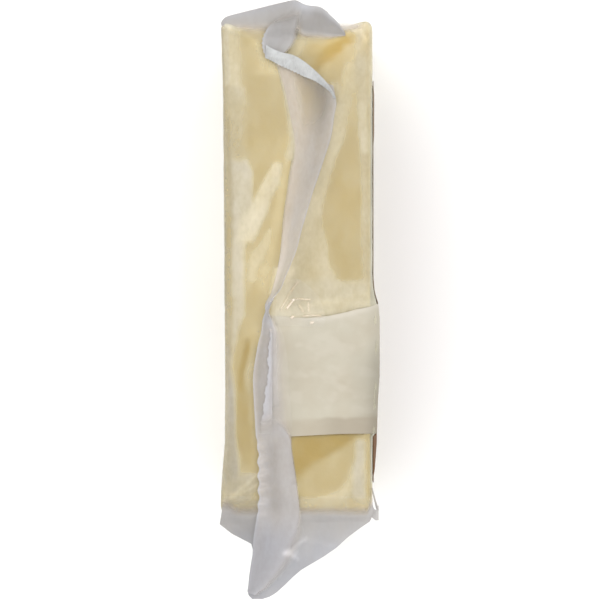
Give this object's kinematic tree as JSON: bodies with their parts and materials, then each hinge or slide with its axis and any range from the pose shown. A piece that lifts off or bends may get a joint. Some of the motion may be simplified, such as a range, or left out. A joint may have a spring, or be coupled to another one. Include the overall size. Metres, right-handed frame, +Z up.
{
  "type": "sealed block of cheddar cheese",
  "caption": "Block of pale cheddar sealed in a clear film pouch with a side fin, end flanges and corner ears, and a paper label wrapped over one long edge.",
  "frame": {"origin": "middle of the flat underside, the narrow side that the pack lies on", "axes": "+Z up to the narrow side that the picture shows, +Y along the block towards the end with the folded-back ear, +X out of the face that carries the label"},
  "size_m": [0.036, 0.1362, 0.0634],
  "materials": {
    "film": "gloss",
    "cheese": "matte",
    "label": "matte"
  },
  "bodies": {
    "root": {"film_pouch": "film", "paper_label": "label"}
  },
  "joints": []
}
